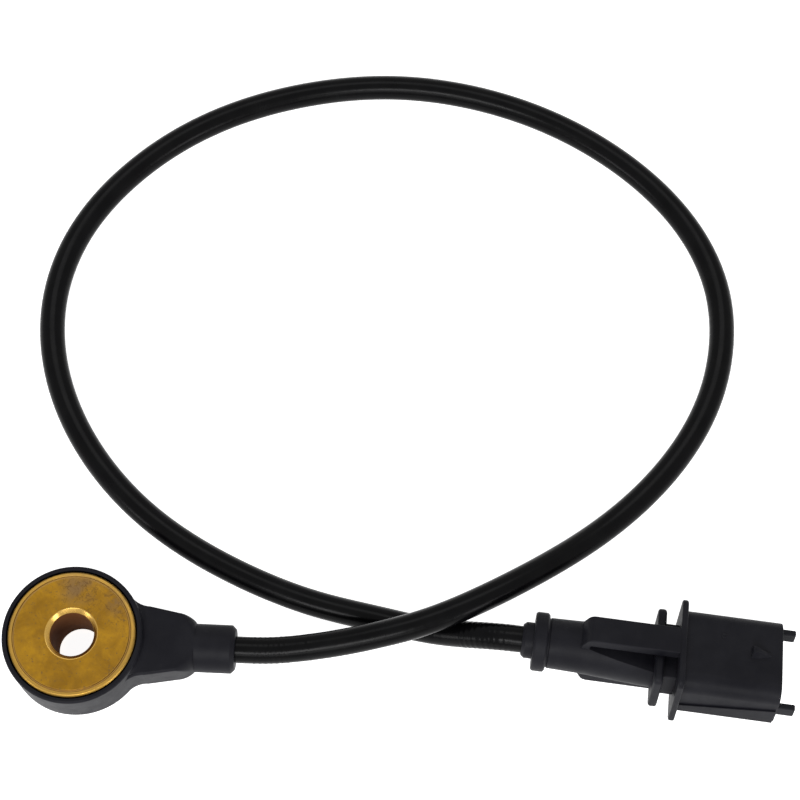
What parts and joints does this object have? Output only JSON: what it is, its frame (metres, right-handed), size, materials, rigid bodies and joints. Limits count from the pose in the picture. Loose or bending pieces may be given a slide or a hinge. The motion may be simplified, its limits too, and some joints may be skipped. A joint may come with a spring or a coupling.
{
  "type": "engine knock sensor",
  "caption": "Ring-shaped engine knock sensor on a brass bolt sleeve, with a moulded neck, a looped round cable and a flanged two-blade plug.",
  "frame": {"origin": "on the bolt axis, at the sleeve's end on the sensor's back, which stands on the surface", "axes": "+Z out of the brass contact face along the bolt axis; +X along the neck towards the cable; +Y across, towards the side where the cable's loop lies"},
  "size_m": [0.1551, 0.1442, 0.0194],
  "materials": {
    "black_moulding": "satin glass-filled black plastic",
    "brass": "machined brass with a patina",
    "cable_jacket": "smooth glossy black jacket",
    "steel": "turned steel",
    "spring_steel": "oiled spring steel",
    "piezo_ceramic": "fired ceramic with thin electrodes",
    "insulating_film": "amber insulating film",
    "tinned_contact": "tinned brass strip",
    "copper": "bare copper strands",
    "core_white": "white core insulation",
    "core_brown": "brown core insulation",
    "carrier_plastic": "dark grey plastic"
  },
  "bodies": {
    "root": {"base_sleeve": "brass", "sensor_housing": "black_moulding", "upper_insulating_washer": "insulating_film", "signal_contact_ring": "tinned_contact", "piezo_ring": "piezo_ceramic", "ground_contact_ring": "tinned_contact", "lower_insulating_washer": "insulating_film", "seismic_mass": "steel", "disc_spring": "spring_steel", "ring_nut": "steel", "sensor_signal_core": "core_white", "sensor_ground_core": "core_brown", "sensor_signal_conductor": "copper", "sensor_ground_conductor": "copper", "cable": "cable_jacket", "plug_housing": "black_moulding", "terminal_carrier": "carrier_plastic", "signal_terminal": "tinned_contact", "ground_terminal": "tinned_contact", "plug_signal_core": "core_white", "plug_ground_core": "core_brown", "plug_signal_conductor": "copper", "plug_ground_conductor": "copper"}
  },
  "joints": []
}
